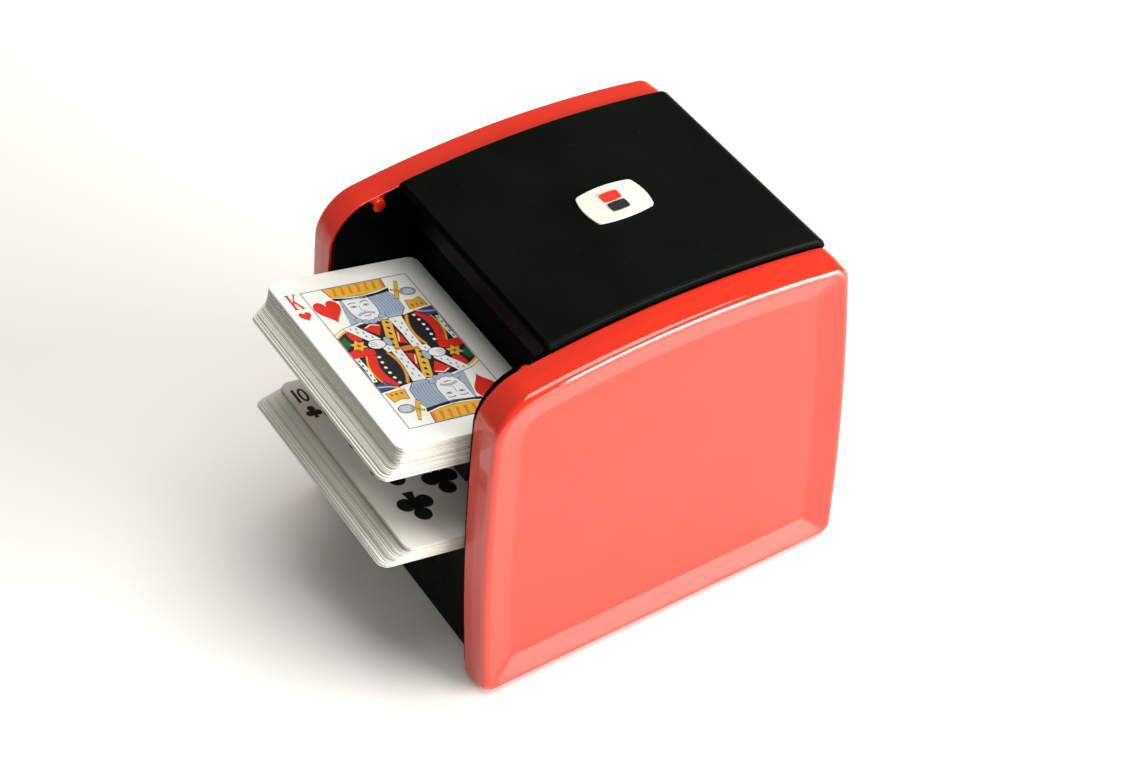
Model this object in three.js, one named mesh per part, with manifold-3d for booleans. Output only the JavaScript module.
// Automatic card shuffler, in millimetres: +Z is up, +X is right and the cards go in from -Y.
// Two bowed side shells stand outside a pair of frame walls. Between the walls are two sloping
// card trays, each with a rubber feed roller under it and a gate that lets one card through, and
// behind them the collecting chamber under a hinged lid. A motor in the base turns both rollers
// through a gear train in the hollow of the right shell.
import * as THREE from "three";
import { mergeVertices } from "three/addons/utils/BufferGeometryUtils.js";
import Module from "manifold-3d";

const wasm = await Module();
wasm.setup();

// ---------------------------------------------------------------- driving dimensions
const GAP = 0.3; // clearance between neighbouring pieces
const FOOT = 1; // the housing stands this far off the table

// outline of the housing seen from the side, measured from its middle
const HALF_DEPTH = 72.5; // at SIDE_MID above the table
const SIDE_MID = 61;
const SIDE_LEAN = 2.5;
const SIDE_BOW = 1.8; // lean and bow are per 60 mm of height
const CREST = 138.3;
const ARCH_DROP = 6.8; // the roof falls this much at 70 mm from the middle
const SHELL_CORNERS = { front: 13, rear: 5.5, bottom: 4 };
const WALL_CORNERS = { front: 13, rear: 13, bottom: 5 };

// across the machine
const SHELL_IN = 47.2; // inner face of a side shell, from the middle
const SHELL_T = 12.1;
const SHELL_SKIN = 2.2;
const EDGE = { crown: 52, x: 59.95, inset: 0.6, cut: 3 }; // where the side and the band would meet
const RECESS = { inset: 12.2, depth: 2.5, corners: { front: 7, rear: 3, bottom: 2 } };
const WALL_IN = 45.2;
const WALL_T = 1.7;
const WALL_SET = 1; // the wall's front edge lies this far behind the shell's
const SPAN = WALL_IN - GAP; // half width of what sits between the walls
const PEG = { y: -49.4, z: 131.8, r: 2.5 };
const HANDS = { right: 1, left: -1 };

// lid
const LID = {
  half: 46.5,
  front: -42,
  proud: 2.6,
  skin: 2.2,
  lip: 9,
  back: 66.2,
  bend: 5.5,
  eaves: 131, // below this the back of the lid lies between the walls
  hem: 119,
};
const HINGE = { y: 60.5, z: 122, pin: 1.5, ear: 3.1, inner: 42.4 };
const BADGE = { x: 1.4, y: 12.4, width: 14.8, length: 21.2, bulge: 1.3, t: 0.5 };

// card path: a slope through the front edge of the upper deck's top card
const SLOPE = THREE.MathUtils.degToRad(13);
const CARD = { length: 89, width: 57, corner: 3.5 };
const PATH = { y: -93.3, z: 118.7 };
const UPPER = { floor: -12.6, front: 28, end: 62, roller: 47, gate: 57.6, gateTop: 14 };
const LOWER = { floor: -51.1, front: 36, end: 73, roller: 53, gate: 69.6, gateTop: -27 };
const FLOOR_T = 2;
const TRAY_LIP = 7.4;
const CARD_SLOT = 1;

// feed rollers and gears
const MODULE = 1;
const TYRE = { r: 9, width: 12, x: 20 };
const SHAFT_R = 2;
const BUSH = { bore: 2.15, barrel: 3.5, flange: 5 };
const BORE_GAP = 0.25;
const NEAR_GEARS = [47.9, 50.4]; // gear faces next to the wall
const FAR_GEARS = [51.1, 53.6]; // and next to the shell
const TEETH = { roller: 24, idler: 16, small: 12, large: 36, pinion: 10 };
const STUD_R = 1.5;

// collecting tray: its top from the ramp behind the lower gate to the back, as (y, z)
const COLLECTOR = [
  [-30.5, 51],
  [-2, 38],
  [64.2, 38],
];

// base, motor and batteries
const BASE = { front: -66.9, back: 67.8, floor: 2, frontTop: 57.5 };
const MOTOR = { r: 11, back: 13, front: 43.9, boss: 3.5, bossEnd: 46.6, shaft: 1 };
const CELL = { r: 13, length: 50, x: 14, z: 18 };
const BOX = { half: 29.5, y0: 3.4, y1: 62.4, top: 33.2, skin: 1.5 };
const DOOR = { half: 27.4, y0: 3.4, t: 1.7 };
const BUTTON = { x: 37.2, z: 20, r: 5, flange: 6.4, travel: 1.5 };
const PANEL = { set: 2, t: 2, bottom: 3.3, top: 115.2 };

// ---------------------------------------------------------------- outline of the housing
const sideAt = (z) => {
  const t = (z - SIDE_MID) / 60;
  return HALF_DEPTH - SIDE_LEAN * t - SIDE_BOW * t * t;
};
const roofAt = (y) => CREST - ARCH_DROP * (y / 70) ** 2;

// Where the side and the roof meet, both moved inwards by inset.
function shoulder(inset) {
  let z = CREST;
  for (let i = 0; i < 20; i += 1) {
    z = roofAt(sideAt(z) - inset) - inset;
  }
  return z;
}

// A rounded corner of n + 1 points from a to b, bulging towards the sharp corner c.
function corner(a, c, b, n) {
  const k = 0.55;
  const bend = new THREE.CubicBezierCurve(a, a.clone().lerp(c, k), b.clone().lerp(c, k), b);
  return bend.getPoints(n);
}

// The rear half of the outline as points (y, z), from the bottom up.
function halfOutline(inset, topCorner, bottomCorner) {
  const bottom = FOOT + inset;
  const top = shoulder(inset);
  const side = (z) => new THREE.Vector2(sideAt(z) - inset, z);
  const roof = (y) => new THREE.Vector2(y, roofAt(y) - inset);
  const low = side(bottom);
  const z0 = bottom + bottomCorner;
  const z1 = top - topCorner;
  const points = corner(new THREE.Vector2(low.x - bottomCorner, bottom), low, side(z0), 4);
  for (let i = 1; i < 5; i += 1) {
    points.push(side(z0 + ((z1 - z0) * i) / 5));
  }
  const peak = side(top);
  const roofEnd = peak.x - topCorner;
  points.push(...corner(side(z1), peak, roof(roofEnd), 6));
  for (let i = 1; i < 5; i += 1) {
    points.push(roof(roofEnd * (1 - i / 5)));
  }
  return points;
}

// The whole outline, anticlockwise seen from +X, always with the same number of points.
function outline(inset, { front, rear, bottom }) {
  const behind = halfOutline(inset, rear, bottom);
  const ahead = halfOutline(inset, front, bottom).map((p) => new THREE.Vector2(-p.x, p.y));
  return [...behind, new THREE.Vector2(0, roofAt(0) - inset), ...ahead.reverse()];
}

// ---------------------------------------------------------------- solids
function mesh(name, geometry, look) {
  const piece = new THREE.Mesh(geometry, new THREE.MeshStandardMaterial(look));
  piece.name = name;
  return piece;
}

function toManifold(geometry) {
  const bare = geometry.clone();
  bare.deleteAttribute("normal");
  bare.deleteAttribute("uv");
  const welded = mergeVertices(bare, 1e-4);
  return new wasm.Manifold(
    new wasm.Mesh({
      numProp: 3,
      vertProperties: new Float32Array(welded.attributes.position.array),
      triVerts: new Uint32Array(welded.index.array),
    }),
  );
}

function fromManifold(solid) {
  const { vertProperties, triVerts } = solid.getMesh();
  const geometry = new THREE.BufferGeometry();
  geometry.setAttribute("position", new THREE.BufferAttribute(vertProperties, 3));
  geometry.setIndex(new THREE.BufferAttribute(triVerts, 1));
  geometry.computeVertexNormals();
  return geometry;
}

// first with the others joined on, then with the cuts taken out
function fit(first, added = [], cut = []) {
  let solid = toManifold(first);
  for (const piece of added) {
    solid = solid.add(toManifold(piece));
  }
  for (const piece of cut) {
    solid = solid.subtract(toManifold(piece));
  }
  return fromManifold(solid);
}

const vectors = (points) => points.map(([a, b]) => new THREE.Vector2(a, b));

function extrude(points, depth, holes = []) {
  const shape = new THREE.Shape(points);
  shape.holes = holes.map((hole) => new THREE.Path(hole));
  return new THREE.ExtrudeGeometry(shape, { depth, bevelEnabled: false, curveSegments: 8 });
}

// outline in (y, z), extruded from x0 to x1
function alongX(points, x0, x1, holes = []) {
  const toWorld = new THREE.Matrix4().makeBasis(
    new THREE.Vector3(0, 1, 0),
    new THREE.Vector3(0, 0, 1),
    new THREE.Vector3(1, 0, 0),
  );
  return extrude(points, x1 - x0, holes).applyMatrix4(toWorld).translate(x0, 0, 0);
}

// outline in (x, y), extruded from z0 to z1
function upZ(points, z0, z1, holes = []) {
  return extrude(points, z1 - z0, holes).translate(0, 0, z0);
}

function box(x0, x1, y0, y1, z0, z1) {
  const block = new THREE.BoxGeometry(x1 - x0, y1 - y0, z1 - z0);
  return block.translate((x0 + x1) / 2, (y0 + y1) / 2, (z0 + z1) / 2);
}

function circle(r, n, y = 0, z = 0, phase = 0) {
  const points = [];
  for (let i = 0; i < n; i += 1) {
    const a = phase + (2 * Math.PI * i) / n;
    points.push(new THREE.Vector2(y + r * Math.cos(a), z + r * Math.sin(a)));
  }
  return points;
}

// round bar along X, with an optional bore
function bar(r, x0, x1, y, z, n = 12, bore = 0) {
  return alongX(circle(r, n, y, z), x0, x1, bore ? [circle(bore, n, y, z)] : []);
}

// turned piece about an axis along X or Y: profile of [distance along the axis, radius]
function turned(profile, n, axis) {
  const spun = new THREE.LatheGeometry(vectors(profile.map(([along, r]) => [r, along])), n);
  return axis === "x" ? spun.rotateZ(-Math.PI / 2) : spun;
}

function mirrored(geometry) {
  const other = geometry.clone().scale(-1, 1, 1);
  const flat = other.index ? other.toNonIndexed() : other;
  const p = flat.attributes.position;
  const swapped = new Float32Array(p.array);
  for (let i = 0; i < p.count; i += 3) {
    for (let k = 0; k < 3; k += 1) {
      swapped[3 * i + 3 + k] = p.array[3 * i + 6 + k];
      swapped[3 * i + 6 + k] = p.array[3 * i + 3 + k];
    }
  }
  const result = new THREE.BufferGeometry();
  result.setAttribute("position", new THREE.BufferAttribute(swapped, 3));
  const welded = mergeVertices(result, 1e-4);
  welded.computeVertexNormals();
  return welded;
}

const onSide = (geometry, side) => (side > 0 ? geometry : mirrored(geometry));

// Skin over rings of equal point count, each [x, points (y, z)], closed by a cap at both ends.
function skinned(rings) {
  const count = rings[0][1].length;
  const position = rings.flatMap(([x, points]) => points.flatMap((p) => [x, p.x, p.y]));
  const index = [];
  for (let r = 0; r + 1 < rings.length; r += 1) {
    for (let i = 0; i < count; i += 1) {
      const a = r * count + i;
      const b = r * count + ((i + 1) % count);
      index.push(a, b, b + count, a, b + count, a + count);
    }
  }
  const caps = [
    [0, true],
    [rings.length - 1, false],
  ];
  for (const [r, flip] of caps) {
    for (const [a, b, c] of THREE.ShapeUtils.triangulateShape(rings[r][1], [])) {
      const start = r * count;
      index.push(start + a, start + (flip ? c : b), start + (flip ? b : c));
    }
  }
  const geometry = new THREE.BufferGeometry();
  geometry.setAttribute("position", new THREE.Float32BufferAttribute(position, 3));
  geometry.setIndex(index);
  return geometry;
}

// ---------------------------------------------------------------- card path
const along = (a, n) => [
  PATH.y + a * Math.cos(SLOPE) + n * Math.sin(SLOPE),
  PATH.z - a * Math.sin(SLOPE) + n * Math.cos(SLOPE),
];
const onPath = (points) => vectors(points.map(([a, n]) => along(a, n)));
const rollerAxis = (tray) => along(tray.roller, tray.floor + 0.2 - TYRE.r);

// ---------------------------------------------------------------- gears
// One tooth is centred on the angle phase.
function gearOutline(teeth, [y, z], phase) {
  const pitch = (MODULE * teeth) / 2;
  const steps = [
    [-1.2, -1.05],
    [0.85, -0.28],
    [0.85, 0.28],
    [-1.2, 1.05],
  ];
  const points = [];
  for (let i = 0; i < teeth; i += 1) {
    const middle = phase + (2 * Math.PI * i) / teeth;
    for (const [height, offset] of steps) {
      const r = pitch + height * MODULE;
      const a = middle + (offset * MODULE) / Math.max(r, pitch);
      points.push(new THREE.Vector2(y + r * Math.cos(a), z + r * Math.sin(a)));
    }
  }
  return points;
}

function gear(teeth, centre, phase, [x0, x1], bore) {
  const hole = circle(bore, 12, centre[0], centre[1]);
  return alongX(gearOutline(teeth, centre, phase), x0, x1, [hole]);
}

const apart = ([y0, z0], [y1, z1]) => Math.hypot(y1 - y0, z1 - z0);
const heading = ([y0, z0], [y1, z1]) => Math.atan2(z1 - z0, y1 - y0);
const step = ([y, z], length, angle) => [y + length * Math.cos(angle), z + length * Math.sin(angle)];
const reach = (a, b) => (MODULE * (a + b)) / 2;

// phase of the follower that puts a gap of it where a tooth of the driver points
function meshed(driverTeeth, driverPhase, followerTeeth, angle) {
  const turn = ((angle - driverPhase) * driverTeeth) / (2 * Math.PI);
  const part = turn - Math.floor(turn);
  return angle + Math.PI - ((0.5 - part) * 2 * Math.PI) / followerTeeth;
}

const lowerAxis = rollerAxis(LOWER);
const upperAxis = rollerAxis(UPPER);
const toUpper = heading(lowerAxis, upperAxis);
const idlerReach = reach(TEETH.roller, TEETH.idler);
const idlerBend = Math.acos(apart(lowerAxis, upperAxis) / (2 * idlerReach));
const idlerAxis = step(lowerAxis, idlerReach, toUpper - idlerBend);
const reductionAxis = step(lowerAxis, reach(TEETH.roller, TEETH.small), THREE.MathUtils.degToRad(-35));
const motorAxis = step(reductionAxis, reach(TEETH.large, TEETH.pinion), THREE.MathUtils.degToRad(-120));

const lowerPhase = 0;
const idlerPhase = meshed(TEETH.roller, lowerPhase, TEETH.idler, heading(lowerAxis, idlerAxis));
const upperPhase = meshed(TEETH.idler, idlerPhase, TEETH.roller, heading(idlerAxis, upperAxis));
const smallPhase = meshed(TEETH.roller, lowerPhase, TEETH.small, heading(lowerAxis, reductionAxis));
const pinionPhase = meshed(TEETH.large, smallPhase, TEETH.pinion, heading(reductionAxis, motorAxis));

// ---------------------------------------------------------------- looks
const red = { color: 0xe8321c, roughness: 0.12, metalness: 0 };
const black = { color: 0x141514, roughness: 0.2, metalness: 0 };
const white = { color: 0xf2efe8, roughness: 0.3, metalness: 0 };
const ink = { color: 0x1a1a1c, roughness: 0.4, metalness: 0 };
const redInk = { color: 0xd62a20, roughness: 0.4, metalness: 0 };
const steel = { color: 0xb9bcc0, roughness: 0.25, metalness: 1 };
const brass = { color: 0xc7a252, roughness: 0.3, metalness: 1 };
const rubber = { color: 0x2a2a2a, roughness: 0.85, metalness: 0 };
const nylon = { color: 0xe6e2d4, roughness: 0.45, metalness: 0 };
const sleeve = { color: 0x2f5f86, roughness: 0.35, metalness: 0 };
const paper = { color: 0xf4f2ec, roughness: 0.5, metalness: 0 };

const pieces = [];
const place = (name, geometry, look) => pieces.push(mesh(name, geometry, look));

// ---------------------------------------------------------------- side shells
const shellOut = SHELL_IN + SHELL_T;
const recessFloor = shellOut - RECESS.depth;
const hollowEnd = recessFloor - SHELL_SKIN - 0.2;
const screwSpots = [
  [-60.5, 7.5],
  [60.5, 12],
  [54, 127.2],
];

// Corners of the outline at an inset: they tighten evenly from the outside to the recess.
function cornersAt(inset) {
  const share = inset / RECESS.inset;
  const between = (key) => THREE.MathUtils.lerp(SHELL_CORNERS[key], RECESS.corners[key], share);
  return { front: between("front"), rear: between("rear"), bottom: between("bottom") };
}

// From the inner face over a slightly crowned side, round the edge and down a straight sloping
// band to the floor of the recess.
function shellSkin() {
  const { front, rear, bottom } = SHELL_CORNERS;
  const thinner = { front: front - SHELL_SKIN, rear: rear - SHELL_SKIN, bottom: bottom - SHELL_SKIN };
  const hollow = outline(SHELL_SKIN, thinner);
  const tip = new THREE.Vector2(EDGE.x, EDGE.inset);
  const crown = new THREE.Vector2(EDGE.crown, 0);
  const floor = new THREE.Vector2(recessFloor, RECESS.inset);
  const towards = (end) => end.clone().sub(tip).setLength(EDGE.cut).add(tip);
  const section = [
    new THREE.Vector2(SHELL_IN, 0),
    crown,
    ...corner(towards(crown), tip, towards(floor), 5),
    floor,
  ];
  const skin = section.map(({ x, y: inset }) => [x, outline(inset, cornersAt(inset))]);
  return skinned([[hollowEnd, hollow], [SHELL_IN, hollow], ...skin]);
}

function sideShell() {
  const bosses = screwSpots.map(([y, z]) => bar(3.6, SHELL_IN, hollowEnd + 0.5, y, z, 16));
  const peg = bar(PEG.r, WALL_IN + 0.4, hollowEnd + 0.5, PEG.y, PEG.z, 20);
  const pilots = screwSpots.map(([y, z]) => bar(1.6, SHELL_IN - 1, SHELL_IN + 6, y, z, 12));
  return fit(shellSkin(), [...bosses, peg], pilots);
}

const rightShell = sideShell();
place("side_shell_right", rightShell, red);
place("side_shell_left", mirrored(rightShell), red);

// ---------------------------------------------------------------- frame walls
function wallHoles(side) {
  const round = ([y, z], r) => circle(r, 12, y, z);
  const holes = [
    round(upperAxis, BUSH.barrel + GAP),
    round(lowerAxis, BUSH.barrel + GAP),
    round([HINGE.y, HINGE.z], HINGE.pin + GAP),
    ...screwSpots.map((spot) => round(spot, 1.9)),
  ];
  if (side > 0) {
    holes.push(round(idlerAxis, STUD_R + GAP));
    holes.push(round(reductionAxis, STUD_R + GAP));
    holes.push(round(motorAxis, MOTOR.boss + GAP));
  }
  return holes;
}

// Flush with the shell at the top and set back at the front, slotted from the top for the peg.
function frameWall(side) {
  const set = (p) => new THREE.Vector2(p.x < 0 ? p.x * (1 - WALL_SET / HALF_DEPTH) : p.x, p.y);
  const edge = outline(0, WALL_CORNERS).map(set);
  const plate = alongX(edge, WALL_IN, WALL_IN + WALL_T, wallHoles(side));
  const through = [WALL_IN - 1, WALL_IN + WALL_T + 1];
  const slotR = PEG.r + GAP;
  const pegSeat = bar(slotR, ...through, PEG.y, PEG.z, 20);
  const pegSlot = box(...through, PEG.y - slotR, PEG.y + slotR, PEG.z, CREST);
  return fit(plate, [], [pegSeat, pegSlot]);
}

place("frame_wall_right", frameWall(1), black);
place("frame_wall_left", mirrored(frameWall(-1)), black);

// ---------------------------------------------------------------- lid, hinge and badge
const lidTop = (y) => roofAt(y) + LID.proud;

// outer or inner line of the lid from its front edge over the roof and down the back
function lidLine(depth) {
  const points = [];
  const yc = LID.back - LID.bend;
  const zc = lidTop(yc) - LID.bend;
  const start = LID.front + depth;
  for (let i = 0; i < 11; i += 1) {
    const y = start + ((yc - start) * i) / 11;
    points.push([y, lidTop(y) - depth]);
  }
  for (let i = 0; i <= 8; i += 1) {
    const a = Math.PI / 2 - (Math.PI / 2) * (i / 8);
    const r = LID.bend - depth;
    points.push([yc + r * Math.cos(a), zc + r * Math.sin(a)]);
  }
  points.push([LID.back - depth, LID.hem]);
  return points;
}

function lidGeometry() {
  const lipZ = lidTop(LID.front) - LID.lip;
  const inner = lidLine(LID.skin).reverse();
  const profile = [[LID.front, lipZ], ...lidLine(0), ...inner, [LID.front + LID.skin, lipZ]];
  const cover = alongX(vectors(profile).reverse(), -LID.half, LID.half);
  const ear = vectors([
    [HINGE.y - HINGE.ear, HINGE.z],
    [HINGE.y - 2, HINGE.z - 2.6],
    [HINGE.y + 2, HINGE.z - 2.6],
    [LID.back - 1, HINGE.z - 1],
    [LID.back - 1, 130],
    [LID.back - LID.bend, lidTop(LID.back - LID.bend) - 1],
    [HINGE.y - HINGE.ear, lidTop(HINGE.y - HINGE.ear) - 1],
  ]);
  const bore = [circle(HINGE.pin + GAP, 16, HINGE.y, HINGE.z)];
  const rightEar = alongX(ear, HINGE.inner, SPAN, bore);
  const wallTop = roofAt(LID.front + LID.skin) + GAP;
  const lipEnd = box(SPAN, LID.half + 1, LID.front - 1, LID.front + LID.skin + 1, lipZ - 1, wallTop);
  const hemEnd = box(SPAN, LID.half + 1, HINGE.y, LID.back + 1, LID.hem - 1, LID.eaves);
  return fit(cover, [rightEar, mirrored(rightEar)], [lipEnd, mirrored(lipEnd), hemEnd, mirrored(hemEnd)]);
}

place("lid", lidGeometry(), black);
const hingePin = bar(HINGE.pin, HINGE.inner + 0.2, WALL_IN + WALL_T - 0.2, HINGE.y, HINGE.z);
place("lid_hinge_pin_right", hingePin, steel);
place("lid_hinge_pin_left", mirrored(hingePin), steel);

// Barrel-sided plate lying on the roof, from low to high above the lid. Each side swells by bulge.
function roofPlate([x0, x1], [y0, y1], low, high, bulge) {
  const corners = [
    [x0, y0],
    [x1, y0],
    [x1, y1],
    [x0, y1],
  ];
  const steps = 8;
  const edge = [];
  corners.forEach(([xa, ya], side) => {
    const [xb, yb] = corners[(side + 1) % 4];
    const length = Math.hypot(xb - xa, yb - ya);
    for (let i = 0; i < steps; i += 1) {
      const t = i / steps;
      const swell = (bulge * 4 * t * (1 - t)) / length;
      edge.push([xa + (xb - xa) * t + (yb - ya) * swell, ya + (yb - ya) * t - (xb - xa) * swell]);
    }
  });
  const plate = upZ(vectors(edge), low, high);
  const p = plate.attributes.position;
  for (let i = 0; i < p.count; i += 1) {
    p.setZ(i, p.getZ(i) + lidTop(p.getY(i)));
  }
  return plate;
}

const around = (middle, size) => [middle - size / 2, middle + size / 2];
const badgeTop = GAP + BADGE.t;
const badgeX = around(BADGE.x, BADGE.width);
const badgeY = around(BADGE.y, BADGE.length);
place("badge_plate", roofPlate(badgeX, badgeY, GAP, badgeTop, BADGE.bulge), white);
const markZ = [badgeTop + 0.1, badgeTop + 0.3];
const markY = around(BADGE.y, 6.4);
place("badge_mark_red", roofPlate(around(BADGE.x - 2.6, 4), markY, ...markZ, 0.2), redInk);
place("badge_mark_black", roofPlate(around(BADGE.x + 2.6, 4), markY, ...markZ, 0.2), ink);

// ---------------------------------------------------------------- trays, gates and decks
function tray(spec) {
  const under = spec.floor - FLOOR_T;
  const profile = onPath([
    [spec.front, spec.floor - TRAY_LIP],
    [spec.front + FLOOR_T, spec.floor - TRAY_LIP],
    [spec.front + FLOOR_T, under],
    [spec.end, under],
    [spec.end, spec.floor],
    [spec.front, spec.floor],
  ]);
  const window = onPath([
    [spec.roller - 7, under - 1],
    [spec.roller + 7, under - 1],
    [spec.roller + 7, spec.floor + 1],
    [spec.roller - 7, spec.floor + 1],
  ]);
  const half = TYRE.width / 2 + 1;
  const right = alongX(window, TYRE.x - half, TYRE.x + half);
  return fit(alongX(profile, -SPAN, SPAN), [], [right, mirrored(right)]);
}

function gate(spec) {
  const foot = spec.floor + CARD_SLOT;
  const profile = onPath([
    [spec.gate, foot],
    [spec.gate + FLOOR_T, foot],
    [spec.gate + FLOOR_T, spec.gateTop],
    [spec.gate, spec.gateTop],
  ]);
  return alongX(profile, -SPAN, SPAN);
}

// Stack of cards: layers of [front edge along the path, bottom, top], lowest first.
function deck(layers) {
  const lap = 0.05;
  const half = CARD.length / 2;
  const slabs = layers.map(([front, low, high], i) => {
    const flat = [];
    const spots = [
      [half - CARD.corner, CARD.corner, 270],
      [half - CARD.corner, CARD.width - CARD.corner, 0],
      [-half + CARD.corner, CARD.width - CARD.corner, 90],
      [-half + CARD.corner, CARD.corner, 180],
    ];
    for (const [x, y, start] of spots) {
      for (let k = 0; k <= 3; k += 1) {
        const a = THREE.MathUtils.degToRad(start + 30 * k);
        flat.push([x + CARD.corner * Math.cos(a), y + CARD.corner * Math.sin(a)]);
      }
    }
    const top = i + 1 < layers.length ? high + lap : high;
    return upZ(vectors(flat), low, top).translate(0, front, 0);
  });
  const [first, ...others] = slabs;
  return fit(first, others).rotateX(-SLOPE).translate(0, PATH.y, PATH.z);
}

place("upper_tray", tray(UPPER), black);
place("lower_tray", tray(LOWER), black);
place("upper_gate", gate(UPPER), black);
place("lower_gate", gate(LOWER), black);
const upperDeck = deck([
  [-4.5, -12.1, -10.2],
  [-3.2, -10.2, -8.4],
  [-1.7, -8.4, -6.6],
  [0, -6.6, 0],
]);
place("upper_deck", upperDeck, paper);
const lowerDeck = deck([
  [3, -50.6, -49.2],
  [5.4, -49.2, -47.6],
  [8.6, -47.6, -46],
  [12, -46, -44.9],
]);
place("lower_deck", lowerDeck, paper);

// ---------------------------------------------------------------- feed rollers
function bush([y, z]) {
  const inner = WALL_IN - GAP - 0.8;
  const flange = bar(BUSH.flange, inner, WALL_IN - GAP, y, z, 12, BUSH.bore);
  const barrel = bar(BUSH.barrel, inner + 0.2, WALL_IN + WALL_T - 0.1, y, z, 12, BUSH.bore);
  return fit(flange, [barrel]);
}

const rollers = [
  ["upper", upperAxis, upperPhase],
  ["lower", lowerAxis, lowerPhase],
];
for (const [name, axis, phase] of rollers) {
  place(`${name}_feed_shaft`, bar(SHAFT_R, -46.7, NEAR_GEARS[1] + 0.2, ...axis, 12), steel);
  place(`${name}_roller_gear`, gear(TEETH.roller, axis, phase, NEAR_GEARS, SHAFT_R + BORE_GAP), nylon);
  const tyre = bar(TYRE.r, ...around(TYRE.x, TYRE.width), ...axis, 20, SHAFT_R + BORE_GAP);
  for (const [hand, side] of Object.entries(HANDS)) {
    place(`${name}_feed_tyre_${hand}`, onSide(tyre, side), rubber);
    place(`${name}_shaft_bush_${hand}`, onSide(bush(axis), side), brass);
  }
}

// ---------------------------------------------------------------- gear train and motor
place("idler_gear", gear(TEETH.idler, idlerAxis, idlerPhase, NEAR_GEARS, STUD_R + BORE_GAP), nylon);
place("idler_stud", bar(STUD_R, WALL_IN + 0.2, NEAR_GEARS[1] + 0.2, ...idlerAxis), steel);

const joinX = FAR_GEARS[0] + 0.1;
const smallGear = gear(TEETH.small, reductionAxis, smallPhase, [NEAR_GEARS[0], joinX], STUD_R + BORE_GAP);
const largeGear = gear(TEETH.large, reductionAxis, smallPhase, FAR_GEARS, STUD_R + BORE_GAP);
place("reduction_gear", fit(largeGear, [smallGear]), nylon);
place("reduction_stud", bar(STUD_R, WALL_IN + 0.2, FAR_GEARS[1] + 0.2, ...reductionAxis), steel);

place("motor_pinion", gear(TEETH.pinion, motorAxis, pinionPhase, FAR_GEARS, MOTOR.shaft + BORE_GAP), brass);
place("motor_shaft", bar(MOTOR.shaft, MOTOR.front - 8, FAR_GEARS[1] + 0.2, ...motorAxis, 10), steel);

const can = turned(
  [
    [MOTOR.back, 0],
    [MOTOR.back, MOTOR.r - 1],
    [MOTOR.back + 1, MOTOR.r],
    [MOTOR.front - 1, MOTOR.r],
    [MOTOR.front, MOTOR.r - 1],
    [MOTOR.front, MOTOR.boss],
    [MOTOR.bossEnd, MOTOR.boss],
    [MOTOR.bossEnd, MOTOR.shaft + GAP],
    [MOTOR.front - 8.5, MOTOR.shaft + GAP],
    [MOTOR.front - 8.5, 0],
  ],
  24,
  "x",
);
place("motor_can", can.translate(0, ...motorAxis), steel);

function motorBracket() {
  const [y, z] = motorAxis;
  const r = MOTOR.r + 2;
  const base = FOOT + BASE.floor + GAP;
  const points = [];
  for (let degrees = -20; degrees <= 200; degrees += 20) {
    const a = THREE.MathUtils.degToRad(degrees);
    points.push([y + r * Math.cos(a), z + r * Math.sin(a)]);
  }
  points.push([y - r + 0.8, base], [y + r - 0.8, base]);
  const seat = circle(MOTOR.r + GAP, 24, y, z);
  return alongX(vectors(points), 22, 32, [seat]);
}
place("motor_bracket", motorBracket(), black);

// ---------------------------------------------------------------- base, rear panel and collector
const feet = [
  [38, -56],
  [38, 48],
  [-38, -56],
  [-38, 48],
];

function basePan() {
  const floorTop = FOOT + BASE.floor;
  const doorway = DOOR.half + GAP;
  const floor = upZ(
    vectors([
      [-SPAN, BASE.front],
      [SPAN, BASE.front],
      [SPAN, BASE.back],
      [doorway, BASE.back],
      [doorway, DOOR.y0 - GAP],
      [-doorway, DOOR.y0 - GAP],
      [-doorway, BASE.back],
      [-SPAN, BASE.back],
    ]),
    FOOT,
    floorTop,
    feet.map(([x, y]) => circle(2.3, 12, x, y)),
  );
  const front = box(-SPAN, SPAN, BASE.front, BASE.front + 2, floorTop - 1, BASE.frontTop);
  return fit(floor, [front]);
}
place("base_pan", basePan(), black);

for (const [i, [x, y]] of feet.entries()) {
  const foot = new THREE.LatheGeometry(
    vectors([
      [0, 0],
      [4.6, 0],
      [5, 0.3],
      [5, FOOT - GAP],
      [2, FOOT - GAP],
      [2, FOOT + 1.8],
      [0, FOOT + 1.8],
    ]),
    16,
  );
  place(`foot_${i + 1}`, foot.rotateX(Math.PI / 2).translate(x, y, 0), rubber);
}

function rearPanel() {
  const outer = [];
  const n = 8;
  for (let i = 0; i <= n; i += 1) {
    const z = PANEL.bottom + ((PANEL.top - PANEL.bottom) * i) / n;
    outer.push([sideAt(z) - PANEL.set, z]);
  }
  const inner = outer.map(([y, z]) => [y - PANEL.t, z]).reverse();
  const plate = alongX(vectors([...outer, ...inner]), -SPAN, SPAN);
  const hole = new THREE.CylinderGeometry(BUTTON.r + GAP, BUTTON.r + GAP, 20, 20);
  return fit(plate, [], [hole.translate(BUTTON.x, HALF_DEPTH - 3, BUTTON.z)]);
}
place("rear_panel", rearPanel(), black);

const panelOut = sideAt(BUTTON.z) - PANEL.set;
const button = turned(
  [
    [panelOut - PANEL.t - 2.6, 0],
    [panelOut - PANEL.t - 2.6, BUTTON.flange],
    [panelOut - PANEL.t - 0.8, BUTTON.flange],
    [panelOut - PANEL.t - 0.8, BUTTON.r],
    [panelOut + 1.4, BUTTON.r],
    [panelOut + 1.9, BUTTON.r - 0.6],
    [panelOut + 1.9, 0],
  ],
  20,
  "y",
);
place("start_button", button.translate(BUTTON.x, 0, BUTTON.z), red);
const switchY = panelOut - PANEL.t - 2.6 - BUTTON.travel - GAP;
place("start_switch", box(BUTTON.x - 6, BUTTON.x + 6, switchY - 9, switchY, 14, 26), rubber);

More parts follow.
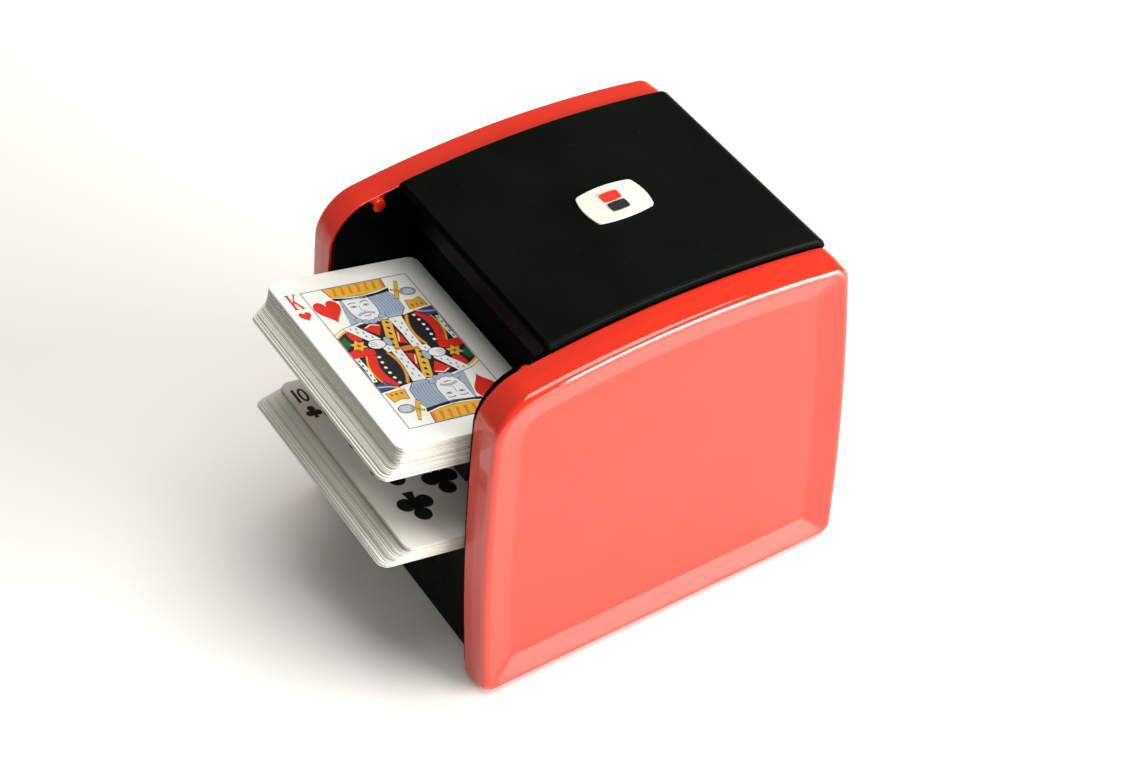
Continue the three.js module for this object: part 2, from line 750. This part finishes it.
function collector() {
  const lower = COLLECTOR.map(([y, z]) => [y, z - FLOOR_T]);
  return alongX(vectors([...lower, ...COLLECTOR.toReversed()]), -SPAN, SPAN);
}
place("collector_tray", collector(), black);

// ---------------------------------------------------------------- batteries
function batteryBox() {
  const outer = box(-BOX.half, BOX.half, BOX.y0, BOX.y1, PANEL.bottom, BOX.top);
  const skin = BOX.skin;
  const inside = box(-BOX.half + skin, BOX.half - skin, BOX.y0 + skin, BOX.y1 - skin, 0, BOX.top - skin);
  return fit(outer, [], [inside]);
}
place("battery_box", batteryBox(), black);
const doorLow = FOOT + 0.2;
const door = box(-DOOR.half, DOOR.half, DOOR.y0, BASE.back, doorLow, doorLow + DOOR.t);
place("battery_door", door, black);

// A cell from y0, with its raised end towards +Y when up is 1.
function cell(y0, up) {
  const body = CELL.length - 1.5;
  const profile = [
    [0, 0],
    [0, CELL.r - 1],
    [1, CELL.r],
    [body - 1, CELL.r],
    [body, CELL.r - 1],
    [body, 3],
    [CELL.length, 3],
    [CELL.length, 0],
  ];
  const turn = turned(profile, 20, "y");
  return up > 0 ? turn.translate(0, y0, 0) : turn.rotateX(Math.PI).translate(0, y0 + CELL.length, 0);
}

const frontContact = BOX.y0 + BOX.skin + GAP;
const rearContact = BOX.y1 - BOX.skin - GAP;
const contactT = 0.5;
const cellFront = frontContact + contactT + GAP;
const cellRear = rearContact - contactT - GAP;
place("battery_left", cell(cellRear - CELL.length, 1).translate(-CELL.x, 0, CELL.z), sleeve);
place("battery_right", cell(cellFront, -1).translate(CELL.x, 0, CELL.z), sleeve);
place("contact_bridge", box(-22, 22, frontContact, frontContact + contactT, 12, 24), steel);
place("contact_left", box(-22, -6, rearContact - contactT, rearContact, 12, 24), steel);
place("contact_right", box(6, 22, rearContact - contactT, rearContact, 12, 24), steel);

function spring(x, y0, y1) {
  class Coil extends THREE.Curve {
    getPoint(t) {
      const a = 2 * Math.PI * 2.5 * t;
      return new THREE.Vector3(x + 4 * Math.cos(a), y0 + (y1 - y0) * t, CELL.z + 4 * Math.sin(a));
    }
  }
  const wire = new THREE.Shape(circle(0.35, 6));
  return new THREE.ExtrudeGeometry(wire, { steps: 30, extrudePath: new Coil(), bevelEnabled: false });
}
place("spring_left", spring(-CELL.x, cellFront + 0.4, cellRear - CELL.length - 0.7), steel);
place("spring_right", spring(CELL.x, cellFront + CELL.length + 0.7, cellRear - 0.4), steel);

// ---------------------------------------------------------------- screws into the side shells
function screw([y, z]) {
  const head = WALL_IN - GAP;
  const profile = [
    [head - 1.1, 0],
    [head - 1.1, 2.2],
    [head - 0.6, 3],
    [head, 3],
    [head, 1.3],
    [SHELL_IN + 5, 1.3],
    [SHELL_IN + 5.6, 0],
  ];
  return turned(profile, 12, "x").translate(0, y, z);
}
for (const [hand, side] of Object.entries(HANDS)) {
  screwSpots.forEach((spot, i) => {
    place(`shell_screw_${hand}_${i + 1}`, onSide(screw(spot), side), steel);
  });
}

// The origin is under the middle of everything, decks included, on the table.
const shuffler = new THREE.Group();
shuffler.name = "card_shuffler";
shuffler.add(...pieces);
const extent = new THREE.Box3().setFromObject(shuffler, true);
shuffler.position.y = -(extent.min.y + extent.max.y) / 2;

export default shuffler;
